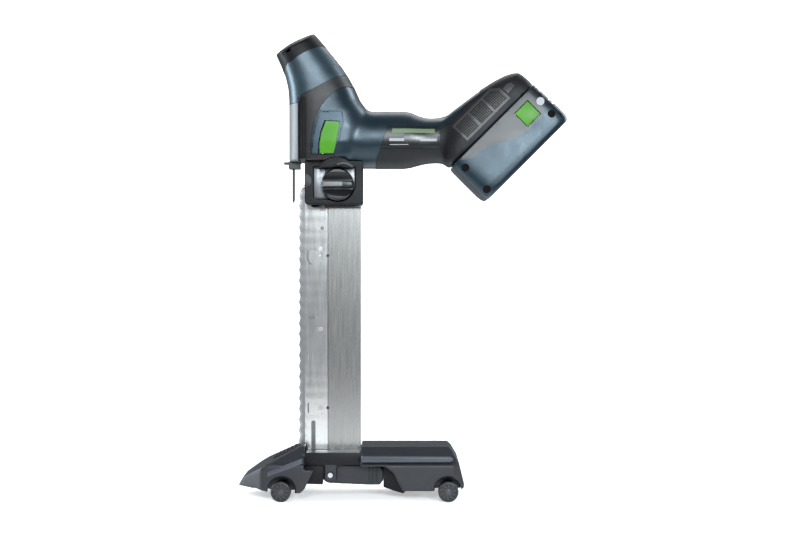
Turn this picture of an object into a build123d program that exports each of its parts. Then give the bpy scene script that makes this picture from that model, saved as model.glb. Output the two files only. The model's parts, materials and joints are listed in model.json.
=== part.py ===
from build123d import *
import os
from math import cos, pi, sin, sqrt

# Cordless insulation saw: barrel-grip machine, angled battery pack, two counter-moving
# blades in a guide rail, and a shoe on four rollers. Millimetres, +Z up, +X towards the
# battery, -Y is the left side. The rollers stand on Z = 0.

# ---------------------------------------------------------------- driving dimensions
WALL = 2.6                  # moulded casing wall
SKIN = 1.4                  # soft grip over the casing
BIG = 400.0                 # longer than the machine, for cutting tools

BARREL_Z = 360.5            # motor axis, parallel to X
BARREL_R = 29.3
NECK_R = 23.0
HEAD_FRONT = -114.3
HEAD_BOTTOM = 338.0
HEAD_HALF = 34.5            # half-width at the gear level
FOOT_HALF = 35.5

KNOB_X = -64.2               # clamp knob axis
KNOB_Z = 314.1
CLAMP_LEFT, CLAMP_RIGHT = -97.7, -39.7
CLAMP_BOTTOM = 294.2
CLAMP_HALF = 20.0

RAIL_FRONT, RAIL_BACK = -74.8, -41.6
RAIL_BOTTOM, RAIL_SHOULDER, RAIL_TOP = 28.0, 292.3, 322.0
TANG_BACK = -50.0
RAIL_IN, RAIL_OUT = 1.75, 2.75      # inner and outer face of each cheek
EDGE_X = -104.2             # mean line of the waved cutting edge
BLADE_BACK = -52.0
BLADE_BOTTOM, BLADE_TOP = 40.5, 316.0
BLADE_T = 1.1
BLADE_GAP = 0.15            # from each blade to the middle plane
WAVE_PITCH, WAVE_DEPTH = 10.9, 1.15
STROKE = 13.0               # each blade moves this far up and down

GEAR_TEETH, PINION_TEETH, MODULE = 46, 10, 0.8
GEAR_R = GEAR_TEETH * MODULE / 2
PINION_R = PINION_TEETH * MODULE / 2
GEAR_X, GEAR_T = -70.0, 6.0
GEAR_Z = BARREL_Z + GEAR_R + PINION_R
PIN_R = 2.5
SHOULDER_R, RING_R = 16.2, 18.8   # crank disc's shoulder and the ring bearing round it

PACK_LENGTH, PACK_WIDTH, PACK_DEPTH = 118.0, 74.0, 49.6
PACK_CENTRE = (91.0, 373.8)  # middle of the face between foot and pack
LID_DEPTH = 6.5
LATCH_U, LATCH_V, LATCH_SIZE = 30.6, 17.0, 18.6

SHOE_TOP = 51.5
SHOE_WALL = 2.8
ROLLER_R, ROLLER_HALF = 10.0, 4.0
ROLLER_Y = 44.0
ROLLER_X = {"front": -119.2, "rear": 45.7}
AXLE_R = 2.5
RUN = 0.05                  # radial running clearance

os.makedirs("parts", exist_ok=True)


# ---------------------------------------------------------------- helpers
def save(shape, name):
    solids = shape.solids() if hasattr(shape, "solids") else shape
    result = solids[0] if len(solids) == 1 else Compound(children=list(solids))
    result.label = name
    export_step(result, f"parts/{name}.step")


def polygon(*points):
    return make_face(Polyline(*points, close=True))


def side(face, low, high):
    """Prism of a face drawn in (X, Z), from Y = low to Y = high."""
    return extrude(Plane.XZ.offset(-high) * face, high - low)


def plan(face, low, high):
    """Prism of a face drawn in (X, Y), from Z = low to Z = high."""
    return extrude(Plane.XY.offset(low) * face, high - low)


def box(x0, x1, y0, y1, z0, z1):
    centre = ((x0 + x1) / 2, (y0 + y1) / 2, (z0 + z1) / 2)
    return Pos(*centre) * Box(x1 - x0, y1 - y0, z1 - z0)


def rod_x(radius, x0, x1, y, z):
    return Pos((x0 + x1) / 2, y, z) * Rot(0, 90, 0) * Cylinder(radius, x1 - x0)


def rod_y(radius, x, y0, y1, z):
    return Pos(x, (y0 + y1) / 2, z) * Rot(90, 0, 0) * Cylinder(radius, y1 - y0)


def rod_z(radius, x, y, z0, z1):
    return Pos(x, y, (z0 + z1) / 2) * Cylinder(radius, z1 - z0)


def largest(shape):
    return max(shape.solids(), key=lambda solid: solid.volume)


def pack_place(u, y, v):
    """A place in the pack's frame: u along the face, v down into the pack."""
    s = 1 / sqrt(2)
    return Pos(PACK_CENTRE[0] + (u + v) * s, y, PACK_CENTRE[1] + (u - v) * s) * Rot(0, -45, 0)


def pack_box(u0, u1, y0, y1, v0, v1):
    place = pack_place((u0 + u1) / 2, (y0 + y1) / 2, (v0 + v1) / 2)
    return place * Box(u1 - u0, y1 - y0, v1 - v0)


def pack_rod(radius, u, v, y0, y1):
    return pack_place(u, (y0 + y1) / 2, v) * Rot(90, 0, 0) * Cylinder(radius, y1 - y0)


def mirrored(shape):
    return mirror(shape, Plane.XZ)


# ---------------------------------------------------------------- casing
def head_ring(z, front, back, half, t):
    """Closed horizontal section of the head, blunt at the front, t inside the surface."""
    front, back, half = front + t, back - t, half - t
    nose = min(15.0, half * 0.45)
    quarter = [(front, nose), (front + 8, half * 0.80), (front + 24, half)]
    rear = [(back - 14, half * 0.93), (back - 3, half * 0.5)]
    upper = quarter + rear
    lower = [(x, -y) for x, y in reversed(upper)]
    ring = Spline(*[(x, y) for x, y in upper + lower], periodic=True)
    return Plane.XY.offset(z) * make_face(ring)


HEAD_RINGS = [
    (HEAD_BOTTOM, HEAD_FRONT, -42.0, 30.5),
    (352.0, HEAD_FRONT, -31.0, 33.5),
    (370.0, HEAD_FRONT, -24.0, HEAD_HALF),
    (388.0, HEAD_FRONT, -31.0, HEAD_HALF),
    (400.0, -114.4, -41.5, 34.0),
    (414.0, -115.4, -48.2, 33.4),
    (432.0, -120.8, -58.4, 32.2),
    (446.0, -127.5, -69.2, 31.0),
    (470.0, -139.0, -90.0, 29.0),
]


def casing(t):
    """The whole machine body as one solid, t inside its outer surface."""
    rings = [head_ring(z + (t if z == HEAD_BOTTOM else 0), a, b, w, t) for z, a, b, w in HEAD_RINGS]
    head = loft(rings)
    cap_curve = ThreePointArc((-131.0, 444.4), (-111.0, 458.8), (-86.0, 468.3))
    below_cap = make_face(Curve() + [
        cap_curve, Line((-86.0, 468.3), (0, 420)), Line((0, 420), (0, 300)),
        Line((0, 300), (-160, 300)), Line((-160, 300), (-160, 444.4)), Line((-160, 444.4), (-131.0, 444.4))])
    head = head & (Pos(0, 0, -t) * side(below_cap, -BIG, BIG))
    start = -52.0 + t
    barrel_line = [
        Line((start, 0), (start, BARREL_R - t)), Line((start, BARREL_R - t), (2.0, BARREL_R - t)),
        Spline((2.0, BARREL_R - t), (17.0, 25.4 - t), (33.0, NECK_R - t), (47.0, NECK_R - t)),
        Line((47.0, NECK_R - t), (47.0, 0)), Line((47.0, 0), (start, 0))]
    half_section = Plane.XZ * make_face(Curve() + barrel_line)
    barrel = Pos(0, 0, BARREL_Z) * revolve(half_section, Axis.X, 360)
    return (head + barrel + foot(t)).clean()


def foot_point(u, v):
    return (PACK_CENTRE[0] + (u + v) / sqrt(2), PACK_CENTRE[1] + (u - v) / sqrt(2))


def foot(t):
    """The flare that turns the barrel down to the pack's 45 degree face."""
    low, high = foot_point(-PACK_LENGTH / 2 + t, -t), foot_point(PACK_LENGTH / 2 - t, -t)
    crest = foot_point(PACK_LENGTH / 2 - 1.5 - t, -20.0 + t)
    neck_top, neck_low = (33.0, BARREL_Z + 21.0 - t), (33.0, BARREL_Z - 22.0 + t)
    back = [(x + 0.5 * t, z - 0.85 * t) for x, z in ((97.0, 423.0), (76.0, 409.0), (56.0, 393.5))]
    outline = [
        Line(low, high), Line(high, crest), Spline(crest, *back, neck_top, tangents=((-1, -0.1), (-1, -0.05))),
        Line(neck_top, neck_low), Spline(neck_low, (43.0, 336.6 + t), low, tangents=((1, -0.2), (0.6, -1)))]
    face = make_face(Curve() + outline)
    prism = side(face, -FOOT_HALF + t, FOOT_HALF - t)
    widths = [(2, FOOT_HALF), (-8, FOOT_HALF), (-20, 31.5), (-34, 27.0), (-70, 24.0)]
    edge = [(v, w - t) for v, w in widths]
    trim = polygon(*edge, *[(v, -w) for v, w in reversed(edge)])
    trim_plane = Plane(origin=(PACK_CENTRE[0], 0, PACK_CENTRE[1]), x_dir=(1, 0, -1), z_dir=(1, 0, 1))
    return prism & extrude(trim_plane * trim, 90, both=True)


COVER_ARC = [(-44.0, 416.2), (-58.1, 415.8), (-73.7, 404.1), (-86.8, 384.6), (-92.6, 359.9), (-93.2, 346.0)]
BAND_X = -106.2


def region_right_of_arc():
    """Everything behind the curved seam between gear cover and clamshell."""
    seam = Spline(*COVER_ARC)
    rest = Polyline(COVER_ARC[-1], (-69.5, 345.5), (-66.0, HEAD_BOTTOM - 9), (BIG, HEAD_BOTTOM - 150),
                    (BIG, 600), (-44.0, 600), COVER_ARC[0])
    return side(make_face(seam + rest), -BIG, BIG)


def region_head():
    """Everything above the diagonal seam of the blue head shell."""
    return side(polygon((-160, 397.8), (BAND_X, 399.7), (-103.2, 406.7), (-64.1, 427.0), (-20, 449.0),
                        (-20, 520), (-160, 520)), -BIG, BIG)


def region_cap():
    """The black lid on top of the head, with its lip over the front."""
    edge = ThreePointArc((-118.8, 443.1), (-103.2, 450.4), (-76.0, 459.5))
    rest = Polyline((-76.0, 459.5), (-60, 462), (-60, 520), (-160, 520), (-160, 431.0), (-121.6, 431.0),
                    (-118.8, 443.1))
    return side(make_face(edge + rest), -BIG, BIG)


GRIP_OUTLINE = [(46.0, 320.0), (46.0, 379.5), (58.0, 388.5), (76.0, 404.0), (79.0, 414.0), (100.0, 440.0),
                (150.0, 440.0), (150.0, 320.0)]
PLATE_OUTLINE = [(-12.0, 374.5), (39.5, 374.5), (39.5, 346.0), (-25.5, 346.0), (-21.0, 354.0)]
BUTTON_OUTLINE = [(-77.6, 380.8), (-63.0, 380.2), (-69.0, 347.0), (-84.4, 347.0), (-82.5, 365.0)]
VENT_OUTLINE = [(-34.0, -29.5), (-34.0, -9.0), (27.5, -9.0), (27.5, -24.0), (20.0, -29.5)]


def vent_face():
    """Frame of the three mesh windows, in the pack's (u, v)."""
    return polygon(*[foot_point(u, v) for u, v in VENT_OUTLINE])


outer = casing(0)
inner = casing(WALL)
shell = outer - inner
left_half = box(-BIG, BIG, -BIG, 0, 0, 600)
outer_left = largest(outer & left_half)
shell_left = outer_left - largest(inner & left_half)
skin_left = outer_left - largest(casing(SKIN) & left_half)

behind_arc = region_right_of_arc()
above_seam = region_head()
cap_zone = region_cap()
band_zone = box(-160, BAND_X, -BIG, BIG, 300, 420)
grip_zone = side(polygon(*GRIP_OUTLINE), -BIG, BIG)
plate_zone = side(polygon(*PLATE_OUTLINE), -BIG, 0)
vent_zone = side(vent_face(), -BIG, 0)
button_hole = side(offset(polygon(*BUTTON_OUTLINE), 0.4), -BIG, 0)

BLADE_WAY = box(EDGE_X - 6, BLADE_BACK + 2, -13.0, 13.0, HEAD_BOTTOM - 5, HEAD_BOTTOM + WALL + 1)
TONGUE_WAY = pack_box(-40, 70, -18, 18, -3, 5) + pack_box(52, 70, -22.5, 22.5, -8, 5)


def front_casing():
    """The four one-piece covers in front of the clamshell."""
    lower = (shell - above_seam) - cap_zone
    save(largest(shell & cap_zone), "top_cap")
    save(largest((shell - cap_zone) & above_seam), "head_shell")
    save(largest(lower & band_zone), "front_cover")
    save(largest(((lower - behind_arc) - band_zone) - BLADE_WAY), "gear_cover")


def clamshell():
    """Left half of the main housing with its grip, plate and vent, and their mirror images."""
    # the clamshell is thinner under the inlays, so that they lie flush
    inlay_skin = skin_left & behind_arc
    plate = inlay_skin & plate_zone
    vent = (inlay_skin & vent_zone) - pack_box(-70, 70, -BIG, BIG, -3, 5)
    grip = ((inlay_skin & grip_zone) - vent_zone) - plate_zone
    half = ((shell_left - above_seam) - cap_zone) & behind_arc
    half = (((half - plate) - vent) - grip) - button_hole
    half = (half - BLADE_WAY) - TONGUE_WAY
    for shape, name in ((half, "housing"), (grip - TONGUE_WAY, "grip_rubber"),
                        (plate, "handle_plate"), (vent, "vent_grille")):
        piece = largest(shape)
        save(piece, f"{name}_left")
        save(mirrored(piece), f"{name}_right")


def switch_buttons():
    """Green push buttons, one on each side, set a little below the casing's surface."""
    travel_block = (largest(casing(1.0) & left_half) - casing(5.0)) & side(polygon(*BUTTON_OUTLINE), -BIG, 0)
    button = largest(travel_block)
    save(button, "switch_button_left")
    save(mirrored(button), "switch_button_right")
    block = box(-86, -72, -25.0, -21.0, 350, 362)
    save(block + mirrored(block), "switch_block")


def housing_screws():
    """Five screws that pull the two halves of the clamshell together."""
    screws = []
    for x, z in ((-51.5, 400), (24, 373), (24, 349.5), (44, 347), (95, 405)):
        screws.append(rod_y(1.5, x, -12, 12, z) + rod_y(3.2, x, -15, -12, z))
    save(Compound(children=[s.solids()[0] for s in screws]), "housing_screws")


# ---------------------------------------------------------------- motor and crank
def gear_face(teeth, root, tip, root_share, tip_share, phase):
    """Straight-flanked gear outline; the shares are parts of one tooth's angle."""
    points = []
    step = 2 * pi / teeth
    for i in range(teeth):
        middle = phase + i * step
        for radius, share in ((root, -root_share), (tip, -tip_share), (tip, tip_share), (root, root_share)):
            angle = middle + share * step / 2
            points.append((radius * cos(angle), radius * sin(angle)))
    return polygon(*points)


def motor():
    stator = rod_x(22.4, -42, -4, 0, BARREL_Z) - rod_x(13.6, -50, 6, 0, BARREL_Z)
    front_cap = rod_x(22.4, -48, -42, 0, BARREL_Z) - rod_x(20, -44, -42, 0, BARREL_Z)
    front_cap -= rod_x(8, -50, -40, 0, BARREL_Z)
    rear_cap = rod_x(20, -4, 3, 0, BARREL_Z) - rod_x(17, -5, 0, 0, BARREL_Z) - rod_x(8, -5, 6, 0, BARREL_Z)
    save(stator + front_cap + rear_cap, "motor_stator")
    bearing = rod_x(8, -48, -44, 0, BARREL_Z) - rod_x(2.5 + RUN, -50, -40, 0, BARREL_Z)
    rear_bearing = Pos(47, 0, 0) * bearing
    save(Compound(children=[bearing.solids()[0], rear_bearing.solids()[0]]), "motor_bearings")
    rotor = rod_x(2.5, -74, 9, 0, BARREL_Z) + rod_x(13.0, -39, -7, 0, BARREL_Z)
    save(rotor, "rotor")
    fan = rod_x(16, 4.5, 5.7, 0, BARREL_Z) + rod_x(5, 4.5, 9, 0, BARREL_Z)
    for i in range(9):
        vane = Pos(7.0, 0, BARREL_Z) * Rot(i * 40, 0, 0) * Pos(0, 0, 10) * Box(3.6, 1.0, 11)
        fan += vane
    save(fan - rod_x(2.5, 0, 12, 0, BARREL_Z), "fan")
    teeth = gear_face(PINION_TEETH, PINION_R - 0.95, PINION_R + 0.62, 0.54, 0.20, pi / 2)
    pinion = extrude(Plane(origin=(GEAR_X - GEAR_T / 2, 0, BARREL_Z), x_dir=(0, 1, 0), z_dir=(1, 0, 0)) * teeth,
                     GEAR_T)
    save(pinion - rod_x(2.5, -80, -60, 0, BARREL_Z), "pinion")


def crank():
    """Crank disc: gear teeth, a shoulder in a ring bearing, and a pin on each face, half a turn apart."""
    phase = -pi / 2 + pi / GEAR_TEETH
    teeth = gear_face(GEAR_TEETH, GEAR_R - 0.95, GEAR_R + 0.55, 0.54, 0.22, phase)
    front = GEAR_X - GEAR_T / 2
    rear = GEAR_X + GEAR_T / 2
    gear = extrude(Plane(origin=(front, 0, GEAR_Z), x_dir=(0, 1, 0), z_dir=(1, 0, 0)) * teeth, GEAR_T)
    gear += rod_x(SHOULDER_R, rear, rear + 5, 0, GEAR_Z)
    gear += rod_x(PIN_R, front - 2, front, -STROKE, GEAR_Z)
    gear += rod_x(PIN_R, rear + 5, rear + 7, STROKE, GEAR_Z)
    save(gear, "crank_gear")
    ring = rod_x(RING_R, rear + 0.5, rear + 4.5, 0, GEAR_Z) - rod_x(SHOULDER_R + RUN, rear, rear + 6, 0, GEAR_Z)
    save(ring, "crank_bearing")
    plate = side(polygon((rear + 0.5, 341), (rear + 4.5, 341), (rear + 4.5, 410), (rear + 0.5, 410)), -27, 27)
    plate -= rod_x(RING_R, -80, -50, 0, GEAR_Z)
    plate -= rod_x(3.2, -80, -50, 0, BARREL_Z)
    plate -= box(-80, -50, -13, 13, 330, 354)
    plate -= box(-80, -50, 4.2, 13, 330, 359)
    save(largest(plate), "gearbox_plate")


def plunger(sign, yoke_x):
    """One plunger: yoke plate, web, arm, guide rod and the foot that holds its blade."""
    y_in, y_out = sign * 3.0, sign * 9.0
    low, high = min(y_in, y_out), max(y_in, y_out)
    yoke = box(yoke_x, yoke_x + 3, -18.5, 18.5, GEAR_Z - 6, GEAR_Z + 6)
    yoke -= box(yoke_x - 1, yoke_x + 4, -16, 16, GEAR_Z - PIN_R - 0.1, GEAR_Z + PIN_R + 0.1)
    shift = 2.0 if sign > 0 else 0.0
    web = box(yoke_x, yoke_x + 3, low + shift, high + shift, 338, GEAR_Z - 5)
    arm = box(-88, yoke_x + 3, low + shift, high, 338, 344)
    guide = box(-88, -82, low, high, 304, 380)
    face = sign * (BLADE_GAP + BLADE_T)
    foot_block = box(-92, -79, min(face, y_out), max(face, y_out), 304, BLADE_TOP)
    return yoke + web + arm + guide + foot_block


def plungers():
    save(plunger(-1, GEAR_X - GEAR_T / 2 - 5.3), "plunger_a")
    save(plunger(1, GEAR_X + GEAR_T / 2 + 7.3), "plunger_b")
    bush = box(-94, -80, -26.5, 26.5, 362, 372)
    for low in (-9.1, 2.9):
        bush -= box(-88.1, -81.9, low, low + 6.2, 360, 374)
    save(bush, "plunger_bush")


def electronics():
    save(box(14, 58, -13, 13, 354, 355.6) + box(20, 34, -9, 9, 355.6, 364), "control_board")
    terminal = pack_box(-18, 18, -14, 14, -15, -7.6)
    for y in (-8, 0, 8):
        terminal += pack_box(-14, 6, y - 0.6, y + 0.6, -20, -15)
    save(terminal, "terminal_block")


# ---------------------------------------------------------------- clamp and guide set
def clamp():
    """Frame under the head that holds the guide rail, its plate, knob and spindle."""
    frame = box(CLAMP_LEFT, CLAMP_RIGHT, -CLAMP_HALF, CLAMP_HALF, CLAMP_BOTTOM, HEAD_BOTTOM)
    frame = fillet(frame.edges().filter_by(Axis.Y).group_by(Axis.Z)[0], 3)
    frame -= box(-94, -47.5, -12, 12, CLAMP_BOTTOM + 4, HEAD_BOTTOM + 1)
    frame += box(-72, -52, RAIL_OUT, 12, CLAMP_BOTTOM + 4, RAIL_TOP)
    frame -= box(RAIL_FRONT - 0.1, TANG_BACK + 0.1, -RAIL_OUT, RAIL_OUT, CLAMP_BOTTOM - 1, CLAMP_BOTTOM + 5)
    frame -= box(CLAMP_LEFT - 1, RAIL_FRONT, -2.0, 2.0, CLAMP_BOTTOM - 1, BLADE_TOP + STROKE + 3)
    frame -= box(-92.6, -78.4, -9.6, 9.6, CLAMP_BOTTOM - 1, CLAMP_BOTTOM + 5)
    recess = polygon((-89, 300), (-70, 299), (-58, 299), (-47, 312), (-47, 332), (-89, 332))
    frame -= side(recess, -CLAMP_HALF - 1, -15.5)
    frame -= rod_y(4.3, KNOB_X, -30, -10, KNOB_Z)
    frame -= rod_y(16.8, KNOB_X, -30, -17.2, KNOB_Z)
    frame -= rod_x(BARREL_R, -52, -30, 0, BARREL_Z)
    save(largest(frame), "clamp_frame")
    plate = side(offset(recess, -0.3), -17.2, -15.5) - rod_y(4.3, KNOB_X, -30, -10, KNOB_Z)
    save(plate, "clamp_plate")
    knob = rod_y(16.3, KNOB_X, -28, -17.6, KNOB_Z)
    knob = fillet(knob.edges().filter_by(GeomType.CIRCLE).group_by(Axis.Y)[0], 1.2)
    knob += box(KNOB_X - 15.2, KNOB_X + 15.2, -33.5, -28, KNOB_Z - 2.9, KNOB_Z + 2.9)
    save(knob, "clamp_knob")
    save(rod_y(4.0, KNOB_X, -17.6, -3.1, KNOB_Z), "knob_spindle")


def guide_rail():
    """Folded stainless channel, open to the front, with a narrower tang in the clamp."""
    body = box(RAIL_FRONT, RAIL_BACK, -RAIL_OUT, RAIL_OUT, RAIL_BOTTOM, RAIL_SHOULDER)
    body += box(RAIL_FRONT, TANG_BACK, -RAIL_OUT, RAIL_OUT, RAIL_SHOULDER, RAIL_TOP)
    body -= box(RAIL_FRONT - 1, RAIL_BACK - 1.2, -RAIL_IN, RAIL_IN, RAIL_BOTTOM - 1, RAIL_SHOULDER - 1)
    body -= box(RAIL_FRONT - 1, TANG_BACK - 1.2, -RAIL_IN, RAIL_IN, RAIL_SHOULDER - 2, RAIL_TOP + 1)
    save(body, "guide_rail")


RIVET_Z = (250.0, 168.0, 88.0)
RIVET_X = -83.0
RIVET_R = 1.6


def blade_outline():
    """Blade seen from the side: waved cutting edge in front, straight back."""
    halves = 2 * int((BLADE_TOP - 4 - BLADE_BOTTOM) / WAVE_PITCH)
    step = WAVE_PITCH / 2
    edge = []
    for i in range(halves):
        low = BLADE_BOTTOM + i * step
        bulge = EDGE_X - WAVE_DEPTH * (1 if i % 2 == 0 else -1)
        edge.append(ThreePointArc((EDGE_X, low), (bulge, low + step / 2), (EDGE_X, low + step)))
    last = (EDGE_X, BLADE_BOTTOM + halves * step)
    back = Polyline(last, (EDGE_X + 4, BLADE_TOP), (BLADE_BACK, BLADE_TOP), (BLADE_BACK, BLADE_BOTTOM),
                    (EDGE_X, BLADE_BOTTOM))
    return Curve() + edge + [back]


def blades():
    face = make_face(blade_outline())
    near = side(face, -BLADE_GAP - BLADE_T, -BLADE_GAP)
    far = side(face, BLADE_GAP, BLADE_GAP + BLADE_T)
    near -= box(RIVET_X - 12.5, RIVET_X - 4.5, -3, 0, 176, 179.5)
    near -= box(RIVET_X - 12.0, RIVET_X - 8.5, -3, 0, 228, 244)
    near -= box(RIVET_X - 9.0, RIVET_X - 4.6, -3, 0, 44, 74)
    slot_half = 2 * STROKE + RIVET_R + 0.4
    for z in RIVET_Z:
        near -= rod_y(RIVET_R, RIVET_X, -3, 0, z)
        far -= box(RIVET_X - RIVET_R - 0.3, RIVET_X + RIVET_R + 0.3, 0, 3, z - slot_half, z + slot_half)
    save(largest(near), "blade_a")
    save(largest(far), "blade_b")
    # each rivet is fixed in the left blade and slides in a slot of the right one
    outside = BLADE_GAP + BLADE_T
    rivets = []
    for z in RIVET_Z:
        rivet = rod_y(RIVET_R, RIVET_X, -outside, outside + 0.2, z)
        rivet += rod_y(2.4, RIVET_X, -outside - 0.35, -outside, z)
        rivet += rod_y(2.8, RIVET_X, outside + 0.2, outside + 0.7, z)
        rivets.append(rivet.solids()[0])
    save(Compound(children=rivets), "blade_rivets")


def finger_guard():
    """Wire in front of the blades and the black bracket that holds it."""
    axis_x = -110.2
    wire = rod_z(1.35, axis_x, 0, 299.5, 331) + Pos(axis_x, 0, 298.0) * Cone(0.35, 1.35, 3)
    save(wire, "guard_rod")
    bracket = box(-114.7, -103.6, -9, 9, 331, HEAD_BOTTOM)
    bracket += box(-119.8, -114.7, -3.5, 3.5, 335.6, HEAD_BOTTOM)
    save(bracket, "guard_bracket")


# ---------------------------------------------------------------- shoe
SHOE_TIP = (-165.9, 10.3)
SHOE_TAIL_X = 62.3


def shoe_block(t):
    """Outer form of the shoe without its openings, t inside the surface."""
    top = [SHOE_TIP, (-159.0, 21.5), (-143.9, 30.8), (-117.8, 43.2), (-101.0, SHOE_TOP), (47.0, SHOE_TOP),
           (50.5, 48.0), (57.0, 36.7), (SHOE_TAIL_X, 15.2), (SHOE_TAIL_X, -15), (SHOE_TIP[0], -15)]
    profile = polygon(*top)
    section = [(-39, -30), (-38, 34), (-34, 38.5), (-32.5, 39.5), (-22, SHOE_TOP)]
    cross = polygon(*section, *[(-y, z) for y, z in reversed(section)])
    outline = [(SHOE_TIP[0], -9), (-140, -37), (-128, -39), (50, -39), (SHOE_TAIL_X, -30)]
    shadow = polygon(*outline, *[(x, -y) for x, y in reversed(outline)])
    if t:
        profile, cross, shadow = (offset(f, -t, kind=Kind.INTERSECTION) for f in (profile, cross, shadow))
    cross_plane = Plane(origin=(0, 0, 0), x_dir=(0, 1, 0), z_dir=(1, 0, 0))
    across = extrude(cross_plane * cross, BIG, both=True)
    return side(profile, -60, 60) & across & plan(shadow, -20, 60)


def wheel_places():
    return [(x, s) for x in ROLLER_X.values() for s in (-1, 1)]


SHOE_SCREWS = [(x, y) for x in (-93, -46) for y in (-16, 16)]


def shoe():
    solid = shoe_block(0)
    hollow = shoe_block(SHOE_WALL) + box(-150, 50, -30, 30, -20, 2)
    body = solid - hollow
    under = polygon((-175, -20), (-175, 9.0), (-144, 9.7), (-131.6, 7.2), (-100.5, 7.2), (-96.5, 11), (-85.6, 33.5),
                    (-16.9, 33.5), (-8.7, 27.4), (-3.8, 17.5), (0.8, 9.0), (58.0, 9.0), (70, 16), (70, -20))
    under_zone = side(under, -BIG, BIG)
    for x, s in wheel_places():
        wall = box(x - 16, x + 16, min(s * 17, s * 20), max(s * 17, s * 20), 4, 40) & solid
        body += wall
    body -= under_zone
    for x, s in wheel_places():
        body -= rod_y(13.0, x, min(s * 20, s * 60), max(s * 20, s * 60), ROLLER_R)
    for x, s in wheel_places():
        body += rod_y(7.0, x, min(s * 17, s * 39.6), max(s * 17, s * 39.6), ROLLER_R)
    # side bridges under the guide opening, set back from the skirt
    body -= box(-97, -41, -BIG, BIG, 30, 80)
    for s in (-1, 1):
        body += box(-100, -38, min(s * 25, s * 28.5), max(s * 25, s * 28.5), 33.5, 45.5)
        body += box(-77.3, -65.3, min(s * 20.6, s * 25), max(s * 20.6, s * 25), 17, 40)
        body += box(-77.3, -65.3, min(s * 25, s * 28.5), max(s * 25, s * 28.5), 17, 33.5)
    body -= box(-109, -96, -4, 4, 20, 80)
    # inner ribs beside the lever
    rear_rib = polygon((-17.5, 35), (-17.5, 22), (-12, 18), (-3, 10), (3, 9), (3, 35))
    front_rib = polygon((-101, 11), (-93, 13), (-86, 24), (-86, 29), (-97, 29), (-97, SHOE_TOP - 1), (-101, SHOE_TOP - 4))
    body += side(rear_rib, -12, 12)
    for s in (-1, 1):
        body += side(front_rib, min(s * 6, s * 12), max(s * 6, s * 12))
    for x in ROLLER_X.values():
        body -= rod_y(AXLE_R, x, -60, 60, ROLLER_R)
    body -= rod_y(2.5, -71.3, -60, 60, 23.6)
    save(largest(body), "shoe_shell")
    socket = box(-96.9, -41.1, -24.9, 24.9, 36.5, 45.5)
    socket -= box(RAIL_FRONT, RAIL_BACK, -RAIL_OUT, RAIL_OUT, 30, 50)
    socket -= box(-100, RAIL_FRONT, -3.4, 3.4, 30, 50)
    for s in (-1, 1):
        socket -= box(-77.3, -65.3, min(s * 20.6, s * 25), max(s * 20.6, s * 25), 30, 40)
    for x, y in SHOE_SCREWS:
        socket -= rod_z(1.45, x, y, 36, 42.5)
    save(largest(socket), "guide_socket")


def lever():
    """Forked clamp lever under the shoe; its middle leaves room for rail and blades."""
    pin_x, pin_z = -71.3, 23.6
    body = side(polygon((pin_x, 14.2), (-35, 12.6), (-22, 12.6), (-18.6, 17), (-18.6, 27), (-22, 31), (pin_x, 33)),
                -20, 20)
    body += rod_y(9.4, pin_x, -20, 20, pin_z)
    body -= box(-90, -38, -8, 8, 0, 60)
    body -= rod_y(2.5 + RUN, pin_x, -30, 30, pin_z)
    for x in (-30.5, -26.5, -22.5):
        body -= side(polygon((x - 0.6, 10), (x + 0.6, 10), (x + 0.6, 33), (x - 0.6, 33)), -21, -19.2)
    save(body, "clamp_lever")
    save(rod_y(2.5, pin_x, -29.5, 29.5, pin_z), "lever_pin")


def rollers():
    roller = rod_y(ROLLER_R, 0, ROLLER_Y - ROLLER_HALF, ROLLER_Y + ROLLER_HALF, ROLLER_R)
    roller -= rod_y(8.0, 0, ROLLER_Y + ROLLER_HALF - 1.0, ROLLER_Y + ROLLER_HALF + 1, ROLLER_R)
    hub = rod_y(3.6, 0, ROLLER_Y + ROLLER_HALF - 1.0, ROLLER_Y + ROLLER_HALF, ROLLER_R)
    for i in range(10):
        spoke = Pos(0, ROLLER_Y + ROLLER_HALF - 0.6, ROLLER_R) * Rot(0, i * 36, 0) * Pos(5.8, 0, 0) * Box(5.0, 0.8, 0.9)
        roller += spoke
    roller = roller + hub - rod_y(AXLE_R + RUN, 0, 30, 60, ROLLER_R)
    for place, x in ROLLER_X.items():
        right = Pos(x, 0, 0) * roller
        save(right, f"roller_{place}_right")
        save(mirrored(right), f"roller_{place}_left")
    axles = [rod_y(AXLE_R, x, -47.6, 47.6, ROLLER_R).solids()[0] for x in ROLLER_X.values()]
    save(Compound(children=axles), "roller_axles")


def shoe_screws():
    screws = [(rod_z(2.8, x, y, 34.3, 36.5) + rod_z(1.4, x, y, 36.5, 42.0)).solids()[0] for x, y in SHOE_SCREWS]
    save(Compound(children=screws), "shoe_screws")


# ---------------------------------------------------------------- battery pack
PACK_TOP = 0.3              # gap between foot and pack
HALF_L, HALF_W = PACK_LENGTH / 2, PACK_WIDTH / 2


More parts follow.
